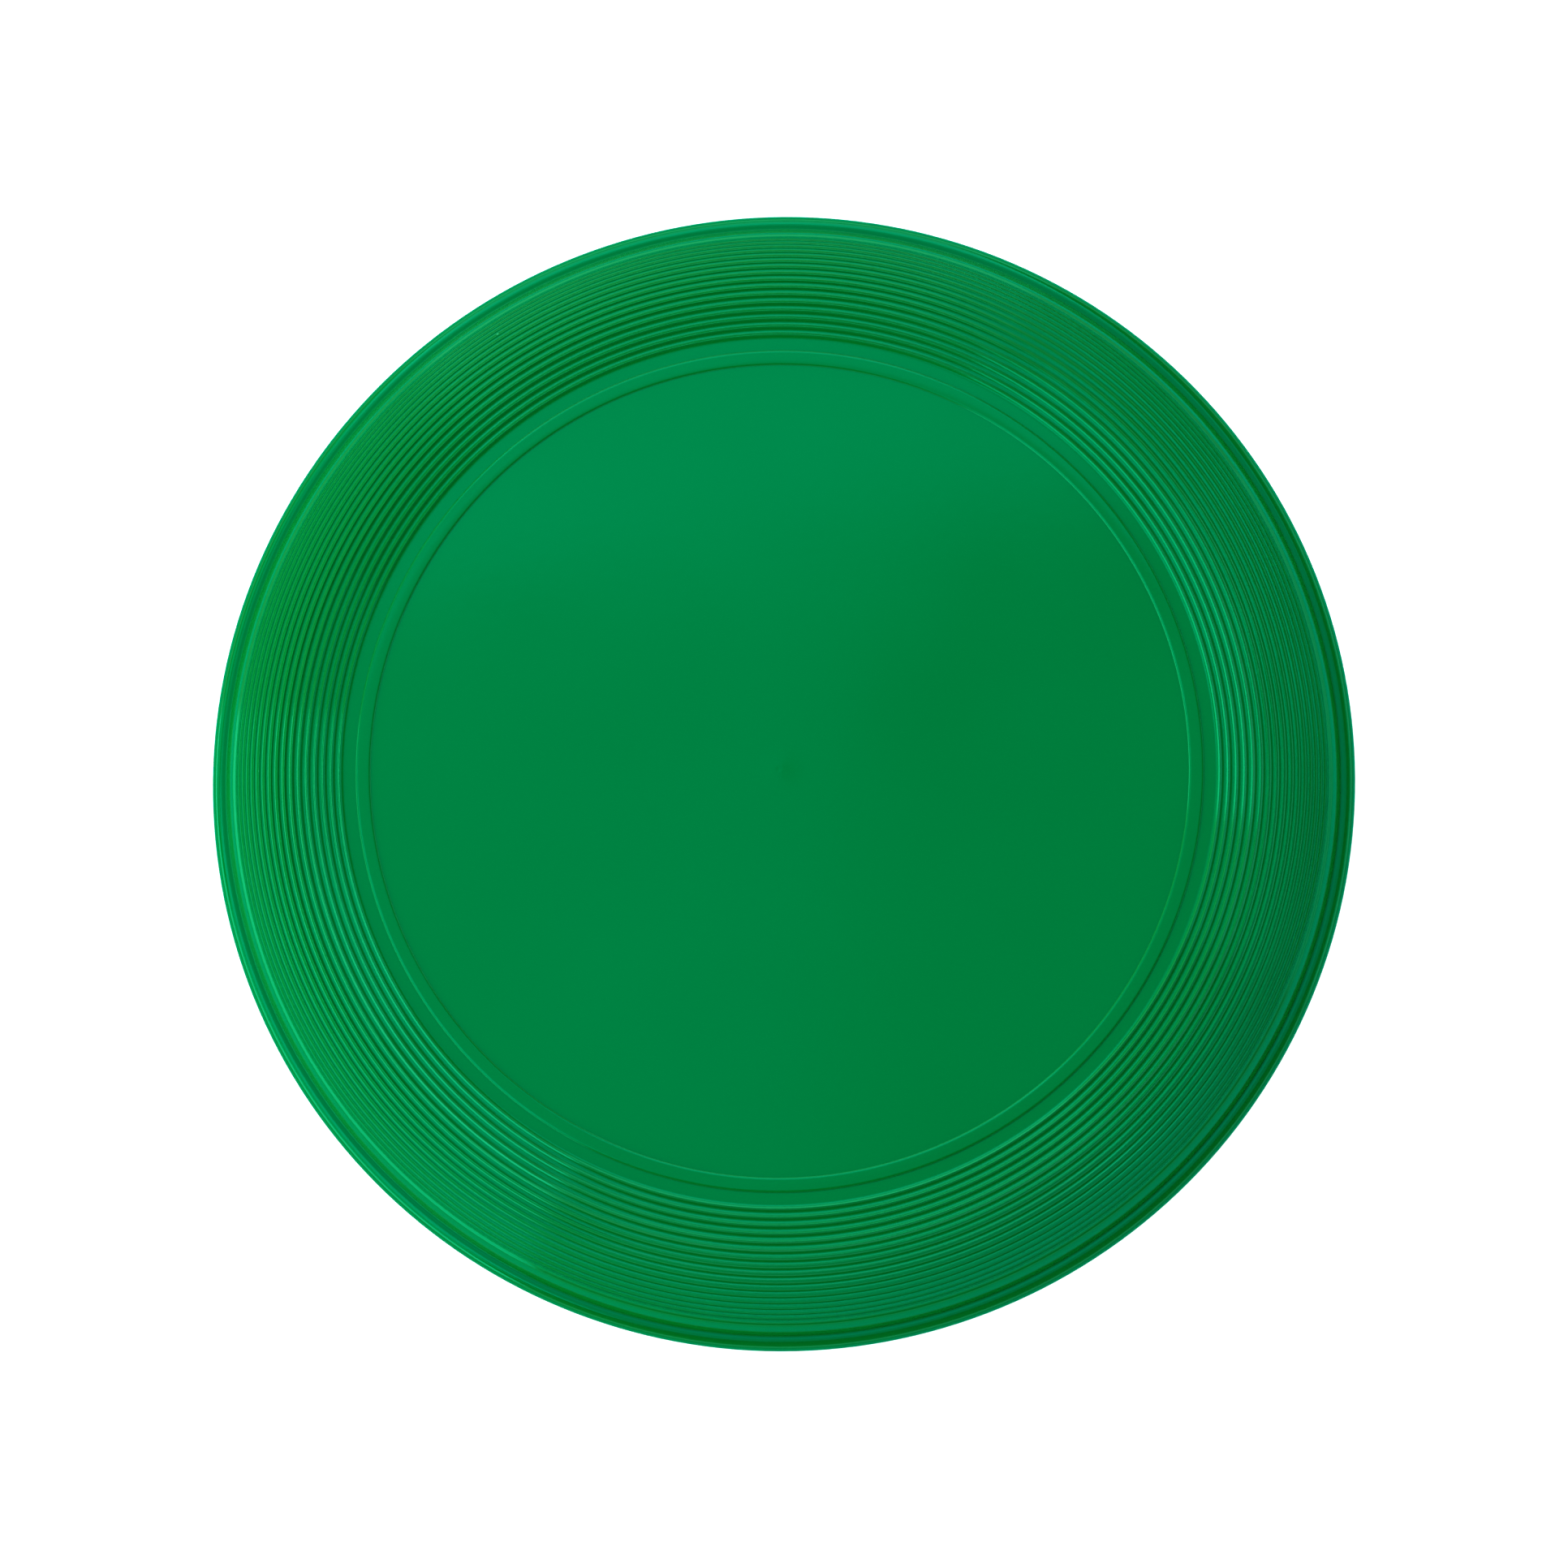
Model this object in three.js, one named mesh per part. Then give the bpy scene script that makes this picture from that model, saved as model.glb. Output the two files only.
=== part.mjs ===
// Flying disc with a closed centre plate: one thin-walled plastic moulding.
// Millimetres, +Z up. The axis is Z, and the disc rests on the rim's flat land at z = 0.
//
// Every feature is a stretch of one section, drawn as (radius, height) points, which is
// then turned round the axis: plate, raised ring, flight ridges, rim wall, fillet, lip,
// resting land, and the smooth hollow underneath.

import * as THREE from 'three';

// Driving dimensions
const OUTER_RADIUS = 110;        // the lip at its widest
const PLATE_TOP = 18.4;          // top face of the centre plate
const PLATE_WALL = 1.7;          // thickness of the plate
const RIM_WALL = 2.0;            // thickness of the rim wall, measured level
const LATHE_STEPS = 64;          // steps round the axis, a multiple of four

// Raised ring round the centre plate
const RING_RADIUS = 77.95;       // foot of its inner flank
const RING_WIDTH = 2.95;
const RING_HEIGHT = 0.3;
const RING_FLANK = 0.55;         // width of each sloping side

// Crown: the top turns down into the rim along an ellipse
const CROWN_RADIUS = 89.1;       // where the top starts to turn down
const CROWN_REACH = 19;          // half-width of the ellipse
const CROWN_DROP = 21.6;         // half-height of the ellipse

// Flight ridges, counted outwards; their pitch closes up towards the rim
const RIDGE_COUNT = 17;
const FIRST_RIDGE = 83.9;        // radius of the innermost crest
const RIDGE_HEIGHT = 0.42;       // straight up, as a mould can leave it
const INNER_PITCH = 1.585;
const OUTER_PITCH = 1.39;

// Smooth wall under the ridges: it starts at a shoulder and stands proud of the valleys
const SHOULDER_GAP = 1.9;        // from the last crest to the shoulder, along the surface
const WALL_PROUD = 0.3;
const WALL_FOOT = 4.6;           // height of its foot

// Fillet under the wall, and the lip outside it, which is round under its brow
const FILLET_RADIUS = 107.3;
const FILLET_HEIGHT = 4.42;
const BROW_RADIUS = 109.35;
const BROW_HEIGHT = 5;
const LIP_WIDEST_HEIGHT = 2.7;

// Flat land that the disc rests on, and the round edge between it and the hollow
const LAND_OUTER = 108.7;
const LAND_INNER = 106.6;
const HOLLOW_FOOT = 3;           // height where the hollow's wall ends
const HOLLOW_FLARE = 0.8;        // how much wider the wall would be at the land

// Gate recess, under the middle of the plate
const GATE_RADIUS = 5;
const GATE_DEPTH = 0.4;

const CURVE_STEPS = 3;           // steps along each small round stretch
const CROWN_STEPS = 10;          // steps along the hollow's ellipse

const CROWN_CENTRE = PLATE_TOP - CROWN_DROP;
const PLATE_UNDERSIDE = PLATE_TOP - PLATE_WALL;

const discPlastic = new THREE.MeshStandardMaterial({ color: 0x008344, roughness: 0.35, metalness: 0 });

// The outer face of the crown, from the plate's level to the upright, by distance.
const crownArc = new THREE.EllipseCurve(
  CROWN_RADIUS, CROWN_CENTRE, CROWN_REACH, CROWN_DROP, Math.PI / 2, 0, true);

// Distance outwards along the top, from the axis, of ridge number `index`, which may be a half.
function ridgeDistance(index) {
  const closing = (INNER_PITCH - OUTER_PITCH) / (2 * (RIDGE_COUNT - 1));
  return FIRST_RIDGE + INNER_PITCH * index - closing * index * index;
}

// A point `lift` over the smooth top, `distance` outwards along it from the axis.
function topPoint(distance, lift) {
  const beyond = distance - CROWN_RADIUS;
  if (beyond <= 0) return new THREE.Vector2(distance, PLATE_TOP + lift);
  const point = crownArc.getPointAt(beyond / crownArc.getLength());
  return new THREE.Vector2(point.x, point.y + lift);
}

// Centre plate's top, from the axis, and the raised ring round it.
function plateAndRing() {
  const outerFoot = RING_RADIUS + RING_WIDTH;
  return [
    new THREE.Vector2(0, PLATE_TOP),
    new THREE.Vector2(RING_RADIUS, PLATE_TOP),
    new THREE.Vector2(RING_RADIUS + RING_FLANK, PLATE_TOP + RING_HEIGHT),
    new THREE.Vector2(outerFoot - RING_FLANK, PLATE_TOP + RING_HEIGHT),
    new THREE.Vector2(outerFoot, PLATE_TOP),
  ];
}

// A valley before the first ridge, then each ridge's crest and the valley after it.
function flightRidges() {
  const points = [topPoint(ridgeDistance(-0.5), 0)];
  for (let index = 0; index < RIDGE_COUNT; index += 1) {
    points.push(topPoint(ridgeDistance(index), RIDGE_HEIGHT));
    points.push(topPoint(ridgeDistance(index + 0.5), 0));
  }
  return points;
}

// A point standing `proud` off the smooth top, where the top passes `height`.
function wallPoint(height, proud) {
  const turn = Math.acos(1 - (PLATE_TOP - height) / CROWN_DROP);
  const point = new THREE.Vector2(
    CROWN_RADIUS + CROWN_REACH * Math.sin(turn), CROWN_CENTRE + CROWN_DROP * Math.cos(turn));
  const outward = new THREE.Vector2(Math.sin(turn) / CROWN_REACH, Math.cos(turn) / CROWN_DROP);
  return point.addScaledVector(outward.normalize(), proud);
}

// Shoulder and smooth wall below the ridges, down to the wall's foot.
function rimWall() {
  const shoulder = topPoint(ridgeDistance(RIDGE_COUNT - 1) + SHOULDER_GAP, 0);
  return [shoulder.y, (shoulder.y + WALL_FOOT) / 2].map((height) => wallPoint(height, WALL_PROUD));
}

// The hollow's smooth face as an ellipse, from the foot of its wall up to the plate.
function hollowArc() {
  const reach = CROWN_REACH - RIM_WALL;
  const drop = CROWN_DROP - PLATE_WALL;
  const foot = Math.asin((HOLLOW_FOOT - CROWN_CENTRE) / drop);
  return new THREE.EllipseCurve(CROWN_RADIUS, CROWN_CENTRE, reach, drop, foot, Math.PI / 2);
}

// Wall's foot, fillet, lip and land, then the round edge up to the foot of the hollow.
function lipAndLand() {
  const wallFoot = wallPoint(WALL_FOOT, WALL_PROUD);
  const hollowFoot = hollowArc().getPoint(0);
  const lip = new THREE.Path();
  lip.moveTo(wallFoot.x, wallFoot.y);
  lip.quadraticCurveTo(wallFoot.x + 0.07, FILLET_HEIGHT, FILLET_RADIUS, FILLET_HEIGHT);
  lip.quadraticCurveTo(BROW_RADIUS, BROW_HEIGHT, OUTER_RADIUS, LIP_WIDEST_HEIGHT);
  lip.quadraticCurveTo(OUTER_RADIUS, 0, LAND_OUTER, 0);
  lip.lineTo(LAND_INNER, 0);
  lip.quadraticCurveTo(hollowFoot.x + HOLLOW_FLARE, 0, hollowFoot.x, HOLLOW_FOOT);
  return lip.getPoints(CURVE_STEPS);
}

// The hollow's smooth face, from the foot of its wall in to the gate recess on the axis.
function underside() {
  return [
    ...hollowArc().getPoints(CROWN_STEPS).slice(1),
    new THREE.Vector2(GATE_RADIUS, PLATE_UNDERSIDE),
    new THREE.Vector2(GATE_RADIUS, PLATE_UNDERSIDE + GATE_DEPTH),
    new THREE.Vector2(0, PLATE_UNDERSIDE + GATE_DEPTH),
  ];
}

// The whole moulding: its section turned round the axis, and stood up on +Z.
function makeDisc() {
  const section = [
    ...plateAndRing(), ...flightRidges(), ...rimWall(), ...lipAndLand(), ...underside()];
  const geometry = new THREE.LatheGeometry(section.reverse(), LATHE_STEPS);
  geometry.rotateX(Math.PI / 2);
  const disc = new THREE.Mesh(geometry, discPlastic);
  disc.name = 'flying_disc';
  return disc;
}

const flyingDisc = new THREE.Group();
flyingDisc.add(makeDisc());

export default flyingDisc;
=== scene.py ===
"""Flying disc: the finished moulding, its plastic, and a plain studio around it.

The disc is one green plastic shell. Its section is drawn once, point by point, and spun round
the axis: flat plate, raised ring, flight ridges, rim wall, groove, lip, resting land, and the
smooth hollow underneath. All lengths are in metres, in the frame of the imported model.
"""

import logging
import math
from dataclasses import dataclass
from enum import Enum
from typing import Callable

import bpy
from mathutils import Matrix, Vector


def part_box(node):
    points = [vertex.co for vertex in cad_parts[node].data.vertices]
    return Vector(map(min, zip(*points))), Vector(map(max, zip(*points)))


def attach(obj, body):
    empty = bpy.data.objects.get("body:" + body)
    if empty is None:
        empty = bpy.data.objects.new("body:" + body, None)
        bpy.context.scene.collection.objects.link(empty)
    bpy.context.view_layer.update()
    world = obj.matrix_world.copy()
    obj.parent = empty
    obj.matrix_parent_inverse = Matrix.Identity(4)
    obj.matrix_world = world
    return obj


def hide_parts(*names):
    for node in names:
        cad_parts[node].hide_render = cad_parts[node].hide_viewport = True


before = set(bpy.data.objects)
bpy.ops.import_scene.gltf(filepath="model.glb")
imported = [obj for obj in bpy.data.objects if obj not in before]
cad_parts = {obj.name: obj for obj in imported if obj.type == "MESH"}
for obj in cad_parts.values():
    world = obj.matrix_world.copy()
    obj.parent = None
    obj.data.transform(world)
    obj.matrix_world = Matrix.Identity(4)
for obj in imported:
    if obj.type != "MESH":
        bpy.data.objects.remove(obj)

DISC_NODE = "flying_disc"
MM = 0.001
UP = Vector((0.0, 0.0, 1.0))
BLEND_FIRST, BLEND_SECOND, BLEND_RESULT = 6, 7, 2  # a Mix node's colour sockets

Colour = tuple[float, float, float, float]

log = logging.getLogger("flying_disc")


class LightColour(Enum):
    """Colours of light. The low lights hold hardly any red, so that no gloss turns brown."""

    WHITE = (1.0, 1.0, 1.0)
    LOW_GREEN = (0.05, 1.0, 0.8)


def deselect_all() -> None:
    """Leaves no object selected, so that an operator acts on the new one alone."""
    if bpy.context.object and bpy.context.object.mode != "OBJECT":
        bpy.ops.object.mode_set(mode="OBJECT")
    bpy.ops.object.select_all(action="DESELECT")


def make_active(piece: bpy.types.Object) -> None:
    """Selects one object alone and makes it active.

    Args:
        piece: the object that the next operators act on.
    """
    deselect_all()
    piece.select_set(True)
    bpy.context.view_layer.objects.active = piece


def blend_colours(
    tree: bpy.types.NodeTree,
    first: bpy.types.NodeSocket | Colour,
    second: bpy.types.NodeSocket | Colour,
    share: bpy.types.NodeSocket,
) -> bpy.types.NodeSocket:
    """Adds a node that blends two colours.

    Args:
        tree: the nodes that it joins.
        first: a colour, or the socket that gives one, shown where the share is 0.
        second: a colour, or the socket that gives one, shown where the share is 1.
        share: the socket with the share of the second colour.

    Returns:
        The socket with the blended colour.
    """
    node = tree.nodes.new("ShaderNodeMix")
    node.data_type = "RGBA"
    tree.links.new(share, node.inputs["Factor"])
    for socket, colour in ((BLEND_FIRST, first), (BLEND_SECOND, second)):
        if isinstance(colour, bpy.types.NodeSocket):
            tree.links.new(colour, node.inputs[socket])
        else:
            node.inputs[socket].default_value = colour
    return node.outputs[BLEND_RESULT]


# ----------------------------------------------------------------------------------------
# Materials
# ----------------------------------------------------------------------------------------


class NodeBench:
    """Adds and links the shader nodes of one material."""

    def __init__(self, name: str) -> None:
        """Starts a node material.

        Args:
            name: the material's name.
        """
        self.material = bpy.data.materials.new(name)
        self.material.use_nodes = True
        self.tree = self.material.node_tree
        self.shader = self.tree.nodes["Principled BSDF"]

    def add(self, kind: str, **inputs: object) -> bpy.types.Node:
        """Adds a node and sets its inputs.

        Args:
            kind: the node's type name.
            **inputs: socket values by socket name, with _ for a space.

        Returns:
            The new node.
        """
        node = self.tree.nodes.new(kind)
        for name, value in inputs.items():
            node.inputs[name.replace("_", " ")].default_value = value
        return node

    def link(self, source: bpy.types.NodeSocket, target: bpy.types.NodeSocket) -> None:
        """Joins an output to an input."""
        self.tree.links.new(source, target)

    def object_place(self) -> bpy.types.NodeSocket:
        """Returns the socket that gives the place on the object, in metres."""
        return self.add("ShaderNodeTexCoord").outputs["Object"]

    def noise(
        self, place: bpy.types.NodeSocket, size: float, detail: float = 2.0
    ) -> bpy.types.NodeSocket:
        """A soft random pattern.

        Args:
            place: the coordinates that it reads.
            size: the width of one blotch, in metres.
            detail: how many finer layers lie on it.

        Returns:
            The socket with the pattern's value, from 0 to 1.
        """
        node = self.add("ShaderNodeTexNoise", Scale=1.0 / size, Detail=detail, Roughness=0.5)
        self.link(place, node.inputs["Vector"])
        return node.outputs["Fac"]

    def remap(
        self, value: bpy.types.NodeSocket, source: tuple[float, float], target: tuple[float, float]
    ) -> bpy.types.NodeSocket:
        """Stretches a value from one range to another, held at both ends.

        Args:
            value: the socket to read.
            source: the range that is read.
            target: the range that comes out.

        Returns:
            The stretched value's socket.
        """
        node = self.add(
            "ShaderNodeMapRange",
            From_Min=source[0], From_Max=source[1], To_Min=target[0], To_Max=target[1],
        )
        self.link(value, node.inputs["Value"])
        return node.outputs["Result"]

    def bump(
        self, height: bpy.types.NodeSocket, depth: float, below: bpy.types.NodeSocket | None = None
    ) -> bpy.types.NodeSocket:
        """Turns a pattern into a fine relief.

        Args:
            height: the pattern, from 0 to 1.
            depth: the relief's height in metres.
            below: a coarser relief that this one lies on.

        Returns:
            The socket with the surface's new normal.
        """
        node = self.add("ShaderNodeBump", Distance=depth, Strength=1.0)
        self.link(height, node.inputs["Height"])
        if below is not None:
            self.link(below, node.inputs["Normal"])
        return node.outputs["Normal"]


@dataclass(frozen=True)
class DiscPlastic:
    """Green injection-moulded plastic: semi-gloss, faintly clouded, with specks of dust.

    Attributes:
        deep_green: the darker of the two greens that the clouds run between.
        light_green: the lighter one.
        dust: the specks' colour.
        gloss_tint: colour of what the surface mirrors straight on.
        roughness: the gloss's softness.
        roughness_spread: how much softer or sharper it is in places.
        ior: refractive index.
        cloud: width of a colour cloud.
        gloss_patch: width of a patch of softer or sharper gloss.
        cloud_detail: finer layers on the clouds and patches.
        noise_range: the values that the clouds and patches are stretched from.
        peel: width of one ripple of the moulded skin.
        peel_depth: the ripples' height.
        grain: width of one grain of the finest relief.
        grain_depth: the grains' height.
        speck_cell: distance between places where a speck can lie.
        speck_radius: a speck's radius, as a share of that distance.
        speck_share: share of those places that hold one.
    """

    deep_green: Colour = (0.0, 0.099, 0.010, 1.0)
    light_green: Colour = (0.0, 0.107, 0.013, 1.0)
    dust: Colour = (0.05, 0.30, 0.16, 1.0)
    gloss_tint: Colour = (0.0, 1.0, 0.62, 1.0)
    roughness: float = 0.10
    roughness_spread: float = 0.02
    ior: float = 1.49
    cloud: float = 45 * MM
    gloss_patch: float = 27 * MM
    cloud_detail: float = 1.5
    noise_range: tuple[float, float] = (0.2, 0.8)
    peel: float = 2.2 * MM
    peel_depth: float = 0.004 * MM
    grain: float = 0.35 * MM
    grain_depth: float = 0.0012 * MM
    speck_cell: float = 5 * MM
    speck_radius: float = 0.03
    speck_share: float = 0.12

    def make(self) -> bpy.types.Material:
        """Returns the finished material."""
        bench = NodeBench("disc_green_plastic")
        place = bench.object_place()
        shader = bench.shader
        shader.inputs["IOR"].default_value = self.ior
        shader.inputs["Specular Tint"].default_value = self.gloss_tint

        clouds = bench.noise(place, self.cloud, self.cloud_detail)
        specks = self.specks(bench, place)
        light_share = bench.remap(clouds, self.noise_range, (0.0, 1.0))
        greens = blend_colours(bench.tree, self.deep_green, self.light_green, light_share)
        dusted = blend_colours(bench.tree, greens, self.dust, specks)
        bench.link(dusted, shader.inputs["Base Color"])

        patches = bench.noise(place, self.gloss_patch, self.cloud_detail)
        low, high = self.roughness - self.roughness_spread, self.roughness + self.roughness_spread
        bench.link(bench.remap(patches, self.noise_range, (low, high)), shader.inputs["Roughness"])

        relief = bench.bump(bench.noise(place, self.peel), self.peel_depth)
        relief = bench.bump(bench.noise(place, self.grain), self.grain_depth, relief)
        bench.link(relief, shader.inputs["Normal"])
        return bench.material

    def specks(self, bench: NodeBench, place: bpy.types.NodeSocket) -> bpy.types.NodeSocket:
        """Scattered dots, a few to a hand's breadth.

        Args:
            bench: the material's bench.
            place: the coordinates that the dots lie on.

        Returns:
            A socket that is 1 on a dot and 0 elsewhere.
        """
        cells = bench.add("ShaderNodeTexVoronoi", Scale=1.0 / self.speck_cell)
        bench.link(place, cells.inputs["Vector"])
        fade = (self.speck_radius, 2 * self.speck_radius)
        near = bench.remap(cells.outputs["Distance"], fade, (1.0, 0.0))
        chosen = bench.add("ShaderNodeMath")
        chosen.operation = "LESS_THAN"
        bench.link(cells.outputs["Color"], chosen.inputs[0])
        chosen.inputs[1].default_value = self.speck_share
        both = bench.add("ShaderNodeMath")
        both.operation = "MULTIPLY"
        bench.link(near, both.inputs[0])
        bench.link(chosen.outputs[0], both.inputs[1])
        return both.outputs[0]


@dataclass(frozen=True)
class FloorPaint:
    """Matt white studio floor that gives off light, so that it stays white in the disc's shadow.

    Attributes:
        white: the lighter of its two whites.
        off_white: the darker one.
        roughness: how matt it is.
        patch: width of one patch of white, in metres.
        glow: how much light it gives off.
    """

    white: Colour = (0.86, 0.86, 0.86, 1.0)
    off_white: Colour = (0.84, 0.84, 0.84, 1.0)
    roughness: float = 0.9
    patch: float = 0.5
    glow: float = 1.2

    def make(self) -> bpy.types.Material:
        """Returns the finished material."""
        bench = NodeBench("studio_floor_white")
        patches = bench.noise(bench.object_place(), self.patch)
        tone = blend_colours(bench.tree, self.white, self.off_white, patches)
        bench.link(tone, bench.shader.inputs["Base Color"])
        bench.shader.inputs["Roughness"].default_value = self.roughness
        bench.shader.inputs["Specular IOR Level"].default_value = 0.0
        bench.shader.inputs["Emission Color"].default_value = self.white
        bench.shader.inputs["Emission Strength"].default_value = self.glow
        return bench.material


# ----------------------------------------------------------------------------------------
# The disc
# ----------------------------------------------------------------------------------------


class SectionPen:
    """Draws a section in the XZ plane as a chain of edges, by extruding its last vertex."""

    def __init__(self, name: str, start: Vector) -> None:
        """Puts the pen down.

        Args:
            name: the piece's name.
            start: the first point of the section.
        """
        deselect_all()
        bpy.ops.mesh.primitive_plane_add(size=MM, location=start)
        self.piece = bpy.context.object
        self.piece.name = name
        self.piece.data.name = name
        bpy.ops.object.transform_apply(location=True, rotation=True, scale=True)
        bpy.ops.object.mode_set(mode="EDIT")
        bpy.ops.mesh.select_mode(type="VERT")
        bpy.ops.mesh.select_all(action="SELECT")
        bpy.ops.mesh.merge(type="CENTER")
        self.place = start.copy()

    def line_to(self, point: Vector) -> None:
        """Draws a straight edge.

        Args:
            point: where the edge ends.
        """
        step = point - self.place
        bpy.ops.mesh.extrude_region_move(TRANSFORM_OT_translate={"value": step})
        self.place = point.copy()

    def follow(self, shape: Callable[[float], Vector], steps: int) -> None:
        """Draws a smooth stretch.

        Args:
            shape: gives the point at each share, from 0 to 1, of the stretch.
            steps: how many edges it is drawn with.
        """
        for step in range(1, steps + 1):
            self.line_to(shape(step / steps))

    def round_to(self, point: Vector, corner: Vector, steps: int) -> None:
        """Draws a rounded corner.

        Args:
            point: where the rounding ends.
            corner: where the two sides would meet without it.
            steps: how many edges it is drawn with.
        """
        start = self.place.copy()

        def rounding(share: float) -> Vector:
            """A parabola that leaves and arrives along the corner's sides."""
            first, second = start.lerp(corner, share), corner.lerp(point, share)
            return first.lerp(second, share)

        self.follow(rounding, steps)

    def lift(self) -> bpy.types.Object:
        """Ends the drawing and returns its object."""
        bpy.ops.object.mode_set(mode="OBJECT")
        return self.piece


def section_point(radius: float, height: float) -> Vector:
    """A point of the section, by its distance from the axis and its height."""
    return Vector((radius, 0.0, height))


@dataclass
class Crown:
    """The smooth top: level to the shoulder radius, then a quarter ellipse down to the rim.

    Attributes:
        top: height of the level part.
        radius: where the top starts to turn down.
        reach: the ellipse's half-width.
        drop: the ellipse's half-height.
        samples: how many straight steps its length is measured in.
    """

    top: float
    radius: float = 89.1 * MM
    reach: float = 19.0 * MM
    drop: float = 21.6 * MM
    samples: int = 600

    def __post_init__(self) -> None:
        """Measures the quarter ellipse once, so that it can be followed by distance."""
        self.lengths = [0.0]
        last = self.at_angle(0.0)
        for index in range(1, self.samples + 1):
            place = self.at_angle(index / self.samples * math.pi / 2)
            self.lengths.append(self.lengths[-1] + (place - last).length)
            last = place

    def at_angle(self, angle: float) -> Vector:
        """The ellipse's point at an angle from its top."""
        return section_point(
            self.radius + self.reach * math.sin(angle), self.top - self.drop * (1 - math.cos(angle))
        )

    def angle_at(self, distance: float) -> float:
        """The ellipse's angle at a distance along it.

        Args:
            distance: how far from the start of the turn, along the surface.

        Returns:
            The angle from the ellipse's top, in radians.
        """
        index = 1
        while index < self.samples and self.lengths[index] < distance:
            index += 1
        before, after = self.lengths[index - 1], self.lengths[index]
        share = (distance - before) / (after - before)
        return (index - 1 + share) / self.samples * math.pi / 2

    def angle_at_height(self, height: float) -> float:
        """The ellipse's angle, from its top, where it passes a height."""
        return math.acos(1 - (self.top - height) / self.drop)

    def outward(self, angle: float) -> Vector:
        """The direction that the surface faces at an angle from the ellipse's top."""
        return Vector((math.sin(angle) / self.reach, 0.0, math.cos(angle) / self.drop)).normalized()

    def point(self, distance: float, lift: float) -> Vector:
        """A point on or over the smooth top.

        Args:
            distance: how far outwards from the axis, along the surface.
            lift: how much higher it lies.

        Returns:
            The point.
        """
        beyond = distance - self.radius
        if beyond <= 0:
            return section_point(distance, self.top + lift)
        return self.at_angle(self.angle_at(beyond)) + UP * lift


@dataclass
class FlightRidges:
    """The fine ribs on the crown: narrow crests between wide round valleys.

    Attributes:
        count: how many there are.
        first: distance of the innermost crest from the axis.
        height: how far a crest stands up, straight up as a mould can leave it.
        crest_round: how soft the crest is.
        inner_pitch: distance between the innermost crests.
        outer_pitch: distance between the outermost crests.
        steps: edges on each side of a crest.
        crowding: how much closer the edges lie together at the crest.
    """

    count: int = 17
    first: float = 83.9 * MM
    height: float = 0.42 * MM
    crest_round: float = 0.06 * MM
    inner_pitch: float = 1.585 * MM
    outer_pitch: float = 1.39 * MM
    steps: int = 8
    crowding: float = 1.6

    def crest(self, index: float) -> float:
        """Distance of a crest from the axis, along the surface. A half index is a valley."""
        closing = (self.inner_pitch - self.outer_pitch) / (2 * (self.count - 1))
        return self.first + self.inner_pitch * index - closing * index * index

    def lift(self, offset: float, reach: float) -> float:
        """How high a rib stands over the surface.

        Args:
            offset: the distance from its crest.
            reach: the distance from its crest to the valley.

        Returns:
            The height, which falls steeply beside the crest and levels out in the valley.
        """
        fall = math.hypot(offset, self.crest_round) - self.crest_round
        full_fall = math.hypot(reach, self.crest_round) - self.crest_round
        return self.height * (1 - fall / full_fall) ** 2

    def draw(self, pen: SectionPen, crown: Crown) -> None:
        """Draws every rib, from the valley inside the first to the valley outside the last.

        Args:
            pen: the pen, anywhere inside the first rib.
            crown: the surface that the ribs stand on.
        """
        pen.line_to(crown.point(self.crest(-0.5), 0.0))
        for index in range(self.count):
            crest = self.crest(index)
            inward, outward = crest - self.crest(index - 0.5), self.crest(index + 0.5) - crest
            for step in range(1 - self.steps, self.steps + 1):
                share = math.copysign(abs(step / self.steps) ** self.crowding, step)
                reach = inward if step < 0 else outward
                offset = share * reach
                pen.line_to(crown.point(crest + offset, self.lift(offset, reach)))


@dataclass
class RaisedRing:
    """The low flat-topped ring moulded round the plate.

    Attributes:
        radius: foot of its inner flank.
        width: from foot to foot.
        height: how far it stands over the plate.
        flank: how far in from a foot the flat top starts.
        lean: how far in from a foot the flank and the top would meet without their rounding.
        steps: edges in each rounding.
    """

    radius: float = 77.95 * MM
    width: float = 2.95 * MM
    height: float = 0.3 * MM
    flank: float = 0.55 * MM
    lean: float = 0.15 * MM
    steps: int = 6

    def draw(self, pen: SectionPen, level: float) -> None:
        """Draws the ring, from its inner foot to its outer foot, with round edges on top.

        Args:
            pen: the pen, at the ring's inner foot.
            level: the height that the ring stands on.
        """
        top, outer = level + self.height, self.radius + self.width
        pen.round_to(
            section_point(self.radius + self.flank, top),
            section_point(self.radius + self.lean, top), self.steps)
        pen.line_to(section_point(outer - self.flank, top))
        pen.round_to(section_point(outer, level), section_point(outer - self.lean, top), self.steps)


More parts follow.
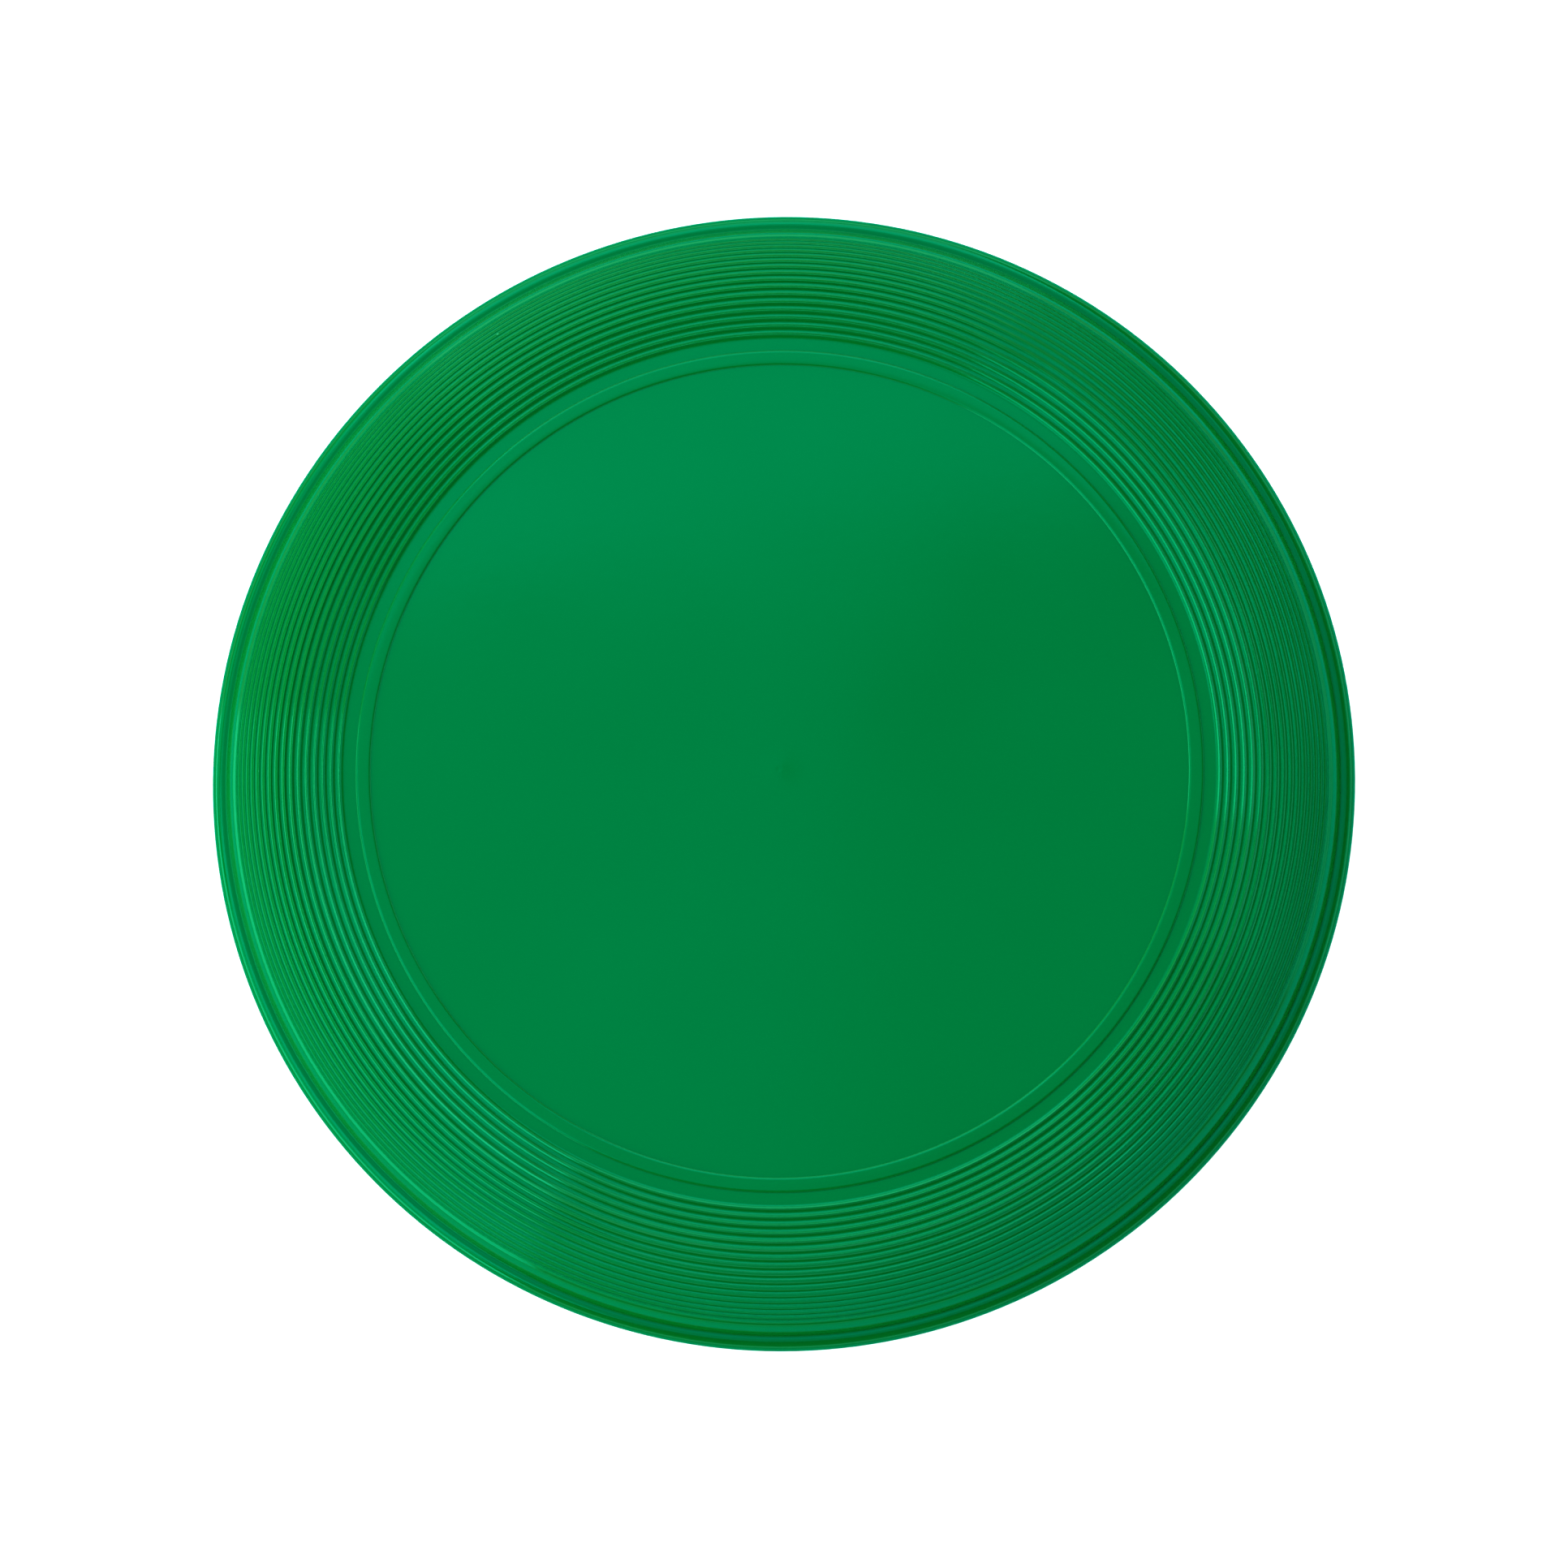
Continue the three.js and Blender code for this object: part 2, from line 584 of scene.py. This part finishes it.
@dataclass
class RimLip:
    """The groove under the wall, the round lip outside it, and the land that it rests on.

    Attributes:
        groove_radius: where the groove's rounding ends and the lip starts to rise.
        groove_height: height of that place.
        groove_corner: how far outside the wall's foot the two sides of the groove would meet.
        brow_radius: the corner that rounds the lip's top.
        brow_height: height of that corner.
        widest_height: height where the lip is widest.
        land_outer: the land's outer radius.
        land_inner: the land's inner radius.
        flare: how far the hollow's mouth is rounded open.
        steps: edges in each rounding.
    """

    groove_radius: float = 107.3 * MM
    groove_height: float = 4.42 * MM
    groove_corner: float = 0.07 * MM
    brow_radius: float = 109.35 * MM
    brow_height: float = 5.0 * MM
    widest_height: float = 2.7 * MM
    land_outer: float = 108.7 * MM
    land_inner: float = 106.6 * MM
    flare: float = 0.8 * MM
    steps: int = 10

    def draw(self, pen: SectionPen, outer_radius: float, hollow_foot: Vector) -> None:
        """Draws from the wall's foot, round the lip, to the foot of the hollow.

        Args:
            pen: the pen, at the wall's foot.
            outer_radius: the lip's radius at its widest.
            hollow_foot: where the hollow's wall starts.
        """
        pen.round_to(
            section_point(self.groove_radius, self.groove_height),
            section_point(pen.place.x + self.groove_corner, self.groove_height), self.steps)
        pen.round_to(
            section_point(outer_radius, self.widest_height),
            section_point(self.brow_radius, self.brow_height), self.steps)
        pen.round_to(
            section_point(self.land_outer, 0.0), section_point(outer_radius, 0.0), self.steps)
        pen.line_to(section_point(self.land_inner, 0.0))
        pen.round_to(hollow_foot, section_point(hollow_foot.x + self.flare, 0.0), self.steps)


@dataclass
class GateMarks:
    """Where the plastic entered: a recess underneath, and a faint crater on top.

    Attributes:
        pit_radius: the crater's pit.
        pit_depth: how deep the pit is.
        wall_inner: inner radius of the crater's wall.
        wall_outer: outer radius of the crater's wall.
        wall_height: how far the wall stands over the plate.
        skirt_radius: where the wall has come down to the plate.
        recess_radius: the recess underneath.
        recess_depth: how deep the recess is.
        edge: width of the rounding at the recess's edge.
        edge_steps: edges in that rounding.
    """

    pit_radius: float = 0.36 * MM
    pit_depth: float = 0.0032 * MM
    wall_inner: float = 0.56 * MM
    wall_outer: float = 0.8 * MM
    wall_height: float = 0.008 * MM
    skirt_radius: float = 1.04 * MM
    recess_radius: float = 5 * MM
    recess_depth: float = 0.4 * MM
    edge: float = 0.3 * MM
    edge_steps: int = 4

    def draw_top(self, level: float) -> SectionPen:
        """Starts the section on the axis, with the crater.

        Args:
            level: the plate's height.

        Returns:
            The pen, on the plate just outside the crater.
        """
        pen = SectionPen(DISC_NODE + "_moulding", section_point(0.0, level))
        pen.line_to(section_point(self.pit_radius, level - self.pit_depth))
        pen.line_to(section_point(self.wall_inner, level + self.wall_height))
        pen.line_to(section_point(self.wall_outer, level + self.wall_height))
        pen.line_to(section_point(self.skirt_radius, level))
        return pen

    def draw_recess(self, pen: SectionPen, level: float) -> None:
        """Ends the section on the axis, with the recess.

        Args:
            pen: the pen, on the underside outside the recess.
            level: the underside's height.
        """
        pen.line_to(section_point(self.recess_radius + self.edge, level))
        pen.round_to(
            section_point(self.recess_radius, level + self.recess_depth),
            section_point(self.recess_radius, level), self.edge_steps)
        pen.line_to(section_point(self.recess_radius / 2, level + self.recess_depth))
        pen.line_to(section_point(0.0, level + self.recess_depth))


@dataclass
class FlyingDisc:
    """The whole moulding, spun from its section.

    Attributes:
        outer_radius: the lip at its widest, from the frame.
        plate_top: height of the plate.
        plate_wall: the plate's thickness.
        rim_wall: the rim wall's thickness.
        wall_foot: height where the outer wall ends.
        wall_proud: how far the smooth wall stands off the ridges' valleys.
        shoulder_share: share of the wall that its rounded shoulder takes.
        hollow_foot: height where the hollow's wall ends.
        turn_steps: steps round the axis.
        plate_rings: steps from the axis to the raised ring.
        support: how close an edge lies beside a foot, to keep the level next to it flat.
    """

    outer_radius: float
    plate_top: float = 18.4 * MM
    plate_wall: float = 1.7 * MM
    rim_wall: float = 2.0 * MM
    wall_foot: float = 4.6 * MM
    wall_proud: float = 0.3 * MM
    shoulder_share: float = 0.18
    hollow_foot: float = 3.0 * MM
    turn_steps: int = 240
    plate_rings: int = 16
    support: float = 0.15 * MM
    wall_steps: int = 24
    hollow_steps: int = 22
    weld: float = 0.002 * MM
    crease_degrees: float = 50.0

    def build(self) -> bpy.types.Object:
        """Models the disc and dresses it.

        Returns:
            The finished piece.
        """
        piece = self.draw_section()
        self.spin(piece)
        piece.data.materials.append(DiscPlastic().make())
        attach(piece, "root")
        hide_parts(DISC_NODE)
        return piece

    def draw_section(self) -> bpy.types.Object:
        """Draws the section, from the axis on top, round the rim, to the axis underneath.

        Returns:
            The piece, which holds the section as a chain of edges.
        """
        crown, ridges, ring, lip, gate = (
            Crown(self.plate_top), FlightRidges(), RaisedRing(), RimLip(), GateMarks())
        pen = gate.draw_top(self.plate_top)
        start = pen.place.x
        pen.follow(
            lambda share: section_point(start + (ring.radius - start) * share, self.plate_top),
            self.plate_rings)
        ring.draw(pen, self.plate_top)
        pen.line_to(section_point(ring.radius + ring.width + self.support, self.plate_top))
        pen.line_to(section_point(ridges.crest(-0.5) - self.support, self.plate_top))
        ridges.draw(pen, crown)

        self.draw_wall(pen, crown, ridges)
        hollow = Crown(
            self.plate_top - self.plate_wall, crown.radius,
            crown.reach - self.rim_wall, crown.drop - self.plate_wall)
        foot = hollow.angle_at_height(self.hollow_foot)
        lip.draw(pen, self.outer_radius, hollow.at_angle(foot))
        pen.follow(lambda share: hollow.at_angle((1 - share) * foot), self.hollow_steps)
        edge = gate.recess_radius + gate.edge
        pen.follow(
            lambda share: section_point(crown.radius + (edge - crown.radius) * share, hollow.top),
            self.plate_rings)
        gate.draw_recess(pen, hollow.top)
        return pen.lift()

    def draw_wall(self, pen: SectionPen, crown: Crown, ridges: FlightRidges) -> None:
        """Draws the smooth wall, which starts in a round shoulder after the last ridge.

        Args:
            pen: the pen, in the valley outside the last ridge.
            crown: the surface that the wall stands on.
            ridges: the ridges that it follows.
        """
        valley = crown.angle_at(ridges.crest(ridges.count - 0.5) - crown.radius)
        foot = crown.angle_at_height(self.wall_foot)

        def wall(share: float) -> Vector:
            """The wall's face, eased up on to the shoulder."""
            angle = valley + (foot - valley) * share
            rise = min(1.0, share / self.shoulder_share)
            proud = self.wall_proud * (1 - math.cos(rise * math.pi)) / 2
            return crown.at_angle(angle) + crown.outward(angle) * proud

        pen.follow(wall, self.wall_steps)

    def spin(self, piece: bpy.types.Object) -> None:
        """Spins the section a full turn, and closes the seam and the poles.

        Args:
            piece: the piece, with its section drawn.
        """
        make_active(piece)
        bpy.ops.object.mode_set(mode="EDIT")
        bpy.ops.mesh.select_all(action="SELECT")
        bpy.ops.mesh.spin(steps=self.turn_steps, angle=math.tau, center=(0, 0, 0), axis=(0, 0, 1))
        bpy.ops.mesh.select_all(action="SELECT")
        bpy.ops.mesh.remove_doubles(threshold=self.weld)
        bpy.ops.mesh.normals_make_consistent(inside=False)
        bpy.ops.object.mode_set(mode="OBJECT")
        bpy.ops.object.shade_smooth_by_angle(angle=math.radians(self.crease_degrees))


# ----------------------------------------------------------------------------------------
# The studio
# ----------------------------------------------------------------------------------------


@dataclass
class StudioFloor:
    """A plain pale floor that the disc lies on."""

    width: float = 12.0
    gap: float = 0.02 * MM

    def build(self) -> bpy.types.Object:
        """Returns the floor."""
        deselect_all()
        bpy.ops.mesh.primitive_plane_add(size=self.width, location=(0, 0, -self.gap))
        floor = bpy.context.object
        floor.name = "studio_floor"
        bpy.ops.object.transform_apply(location=True, rotation=True, scale=True)
        floor.data.materials.append(FloorPaint().make())
        floor.visible_glossy = False
        return floor


@dataclass
class SoftBox:
    """A soft light that faces the disc.

    Attributes:
        name: the light's name.
        azimuth: where it stands, in degrees from +X towards +Y.
        elevation: degrees above the floor.
        distance: how far it is from the disc's middle.
        width: its size across.
        height: its size up.
        power: watts.
        colour: white, or the green of the low lights.
    """

    name: str
    azimuth: float
    elevation: float
    distance: float
    width: float
    height: float
    power: float
    colour: LightColour = LightColour.WHITE

    def build(self) -> bpy.types.Object:
        """Returns the light."""
        turn, lift = math.radians(self.azimuth), math.radians(self.elevation)
        level = math.cos(lift)
        away = Vector((math.cos(turn) * level, math.sin(turn) * level, math.sin(lift)))
        lamp = bpy.data.lights.new(self.name, "AREA")
        lamp.shape = "RECTANGLE"
        lamp.size = self.width
        lamp.size_y = self.height
        lamp.energy = self.power
        lamp.color = self.colour.value
        light = bpy.data.objects.new(self.name, lamp)
        bpy.context.scene.collection.objects.link(light)
        light.location = away * self.distance
        light.rotation_mode = "QUATERNION"
        light.rotation_quaternion = away.to_track_quat("Z", "Y")
        light.visible_camera = False
        return light


@dataclass
class RoomGlow:
    """The room's own light: bright round the horizon, fading out overhead, and dim below.

    Attributes:
        glow: its colour and brightness at the horizon.
        below: its colour and brightness under the floor, which only gloss picks up.
        dark: its colour overhead.
        low_edge: the height, as a sine, where the two meet.
        fade_end: the height, as a sine, where the glow has gone.
    """

    glow: Colour = (1.1, 2.4, 1.9, 1.0)
    below: Colour = (0.0, 0.9, 0.7, 1.0)
    dark: Colour = (0.0, 0.0, 0.0, 1.0)
    low_edge: float = -0.03
    fade_end: float = 0.45

    def build(self) -> bpy.types.World:
        """Returns the world."""
        world = bpy.data.worlds.new("studio_room")
        world.use_nodes = True
        tree = world.node_tree
        split = tree.nodes.new("ShaderNodeSeparateXYZ")
        tree.links.new(tree.nodes.new("ShaderNodeTexCoord").outputs["Generated"], split.inputs[0])
        fade = tree.nodes.new("ShaderNodeMapRange")
        fade.interpolation_type = "SMOOTHSTEP"
        fade.inputs["From Min"].default_value = 0.0
        fade.inputs["From Max"].default_value = self.fade_end
        tree.links.new(split.outputs["Z"], fade.inputs["Value"])
        upper = blend_colours(tree, self.glow, self.dark, fade.outputs["Result"])
        above = tree.nodes.new("ShaderNodeMath")
        above.operation = "GREATER_THAN"
        above.inputs[1].default_value = self.low_edge
        tree.links.new(split.outputs["Z"], above.inputs[0])
        whole = blend_colours(tree, self.below, upper, above.outputs[0])
        tree.links.new(whole, tree.nodes["Background"].inputs["Color"])
        bpy.context.scene.world = world
        return world


@dataclass
class StudioLight:
    """Plain soft light: boxes round the disc, and an even glow from the room."""

    boxes: tuple[SoftBox, ...] = (
        SoftBox("key_box", 202, 14, 1.3, 1.8, 0.55, 17.5, LightColour.LOW_GREEN),
        SoftBox("key_upper_box", 208, 42, 1.3, 0.9, 0.6, 4.5, LightColour.LOW_GREEN),
        SoftBox("overhead_box", 200, 64, 1.3, 0.7, 0.5, 4.4),
        SoftBox("back_box", 98, 15, 1.3, 1.5, 0.55, 5.6, LightColour.LOW_GREEN),
        SoftBox("top_box", 101, 48, 1.3, 1.0, 0.8, 9.8),
        SoftBox("left_box", 150, 42, 1.3, 0.9, 0.6, 4.8, LightColour.LOW_GREEN),
        SoftBox("side_box", 12, 18, 1.3, 1.4, 0.6, 3.6, LightColour.LOW_GREEN),
        SoftBox("ceiling_box", 109, 82.5, 1.3, 0.9, 0.9, 2.9),
        SoftBox("ceiling_left_box", 175, 75, 1.3, 0.5, 0.6, 0.4),
        SoftBox("ceiling_far_box", 98, 68.6, 1.35, 0.75, 0.5, 1.4),
    )

    def build(self) -> list[bpy.types.Object]:
        """Returns the lights."""
        RoomGlow().build()
        return [box.build() for box in self.boxes]


@dataclass
class PlanCamera:
    """A long lens that looks down on the disc, a little off its axis.

    Attributes:
        reach: distance from the disc, in disc radii.
        tilt: degrees off the vertical.
        turn: direction of the tilt's axis, in degrees from +X.
        fill: the disc's share of the picture's width.
        sensor: the film's width, in millimetres.
        nearest: where its view starts, as a share of its distance.
        farthest: where its view ends, as a share of its distance.
        aim: the place that it looks at.
    """

    reach: float = 14.0
    tilt: float = 7.5
    turn: float = 18.5
    fill: float = 0.7294
    sensor: float = 36.0
    nearest: float = 0.1
    farthest: float = 10.0
    aim: tuple[float, float, float] = (0.33 * MM, -0.95 * MM, 2.7 * MM)

    def build(self, disc_radius: float) -> bpy.types.Object:
        """Makes the camera the scene's own.

        Args:
            disc_radius: the disc's radius, which sets the distance.

        Returns:
            The camera.
        """
        lens = bpy.data.cameras.new("plan_camera")
        camera = bpy.data.objects.new("plan_camera", lens)
        bpy.context.scene.collection.objects.link(camera)
        distance = self.reach * disc_radius
        lens.sensor_width = self.sensor
        lens.lens = self.sensor * distance * self.fill / (2 * disc_radius)
        lens.clip_start, lens.clip_end = self.nearest * distance, self.farthest * distance
        axis = Vector((math.cos(math.radians(self.turn)), math.sin(math.radians(self.turn)), 0.0))
        tilt = Matrix.Rotation(math.radians(self.tilt), 4, axis)
        aim, back = Matrix.Translation(Vector(self.aim)), Matrix.Translation(UP * distance)
        camera.matrix_world = aim @ tilt @ back
        bpy.context.scene.camera = camera
        return camera


def set_colour_view() -> None:
    """Shows colours as they are, with no film curve over them."""
    view = bpy.context.scene.view_settings
    view.view_transform = "Standard"
    view.look = "None"


def main() -> None:
    """Builds the disc and the studio, and reports each piece."""
    logging.basicConfig(level=logging.INFO, format="%(name)s: %(message)s")
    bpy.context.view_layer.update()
    disc_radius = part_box(DISC_NODE)[1].x

    camera = PlanCamera().build(disc_radius)
    log.info("camera %s, %.0f mm lens", camera.name, camera.data.lens)
    disc = FlyingDisc(outer_radius=disc_radius).build()
    log.info("piece %s, %d faces", disc.name, len(disc.data.polygons))
    floor = StudioFloor().build()
    log.info("floor %s", floor.name)
    for light in StudioLight().build():
        log.info("light %s, %.0f W", light.name, light.data.energy)
    set_colour_view()


if __name__ == "__main__":
    main()
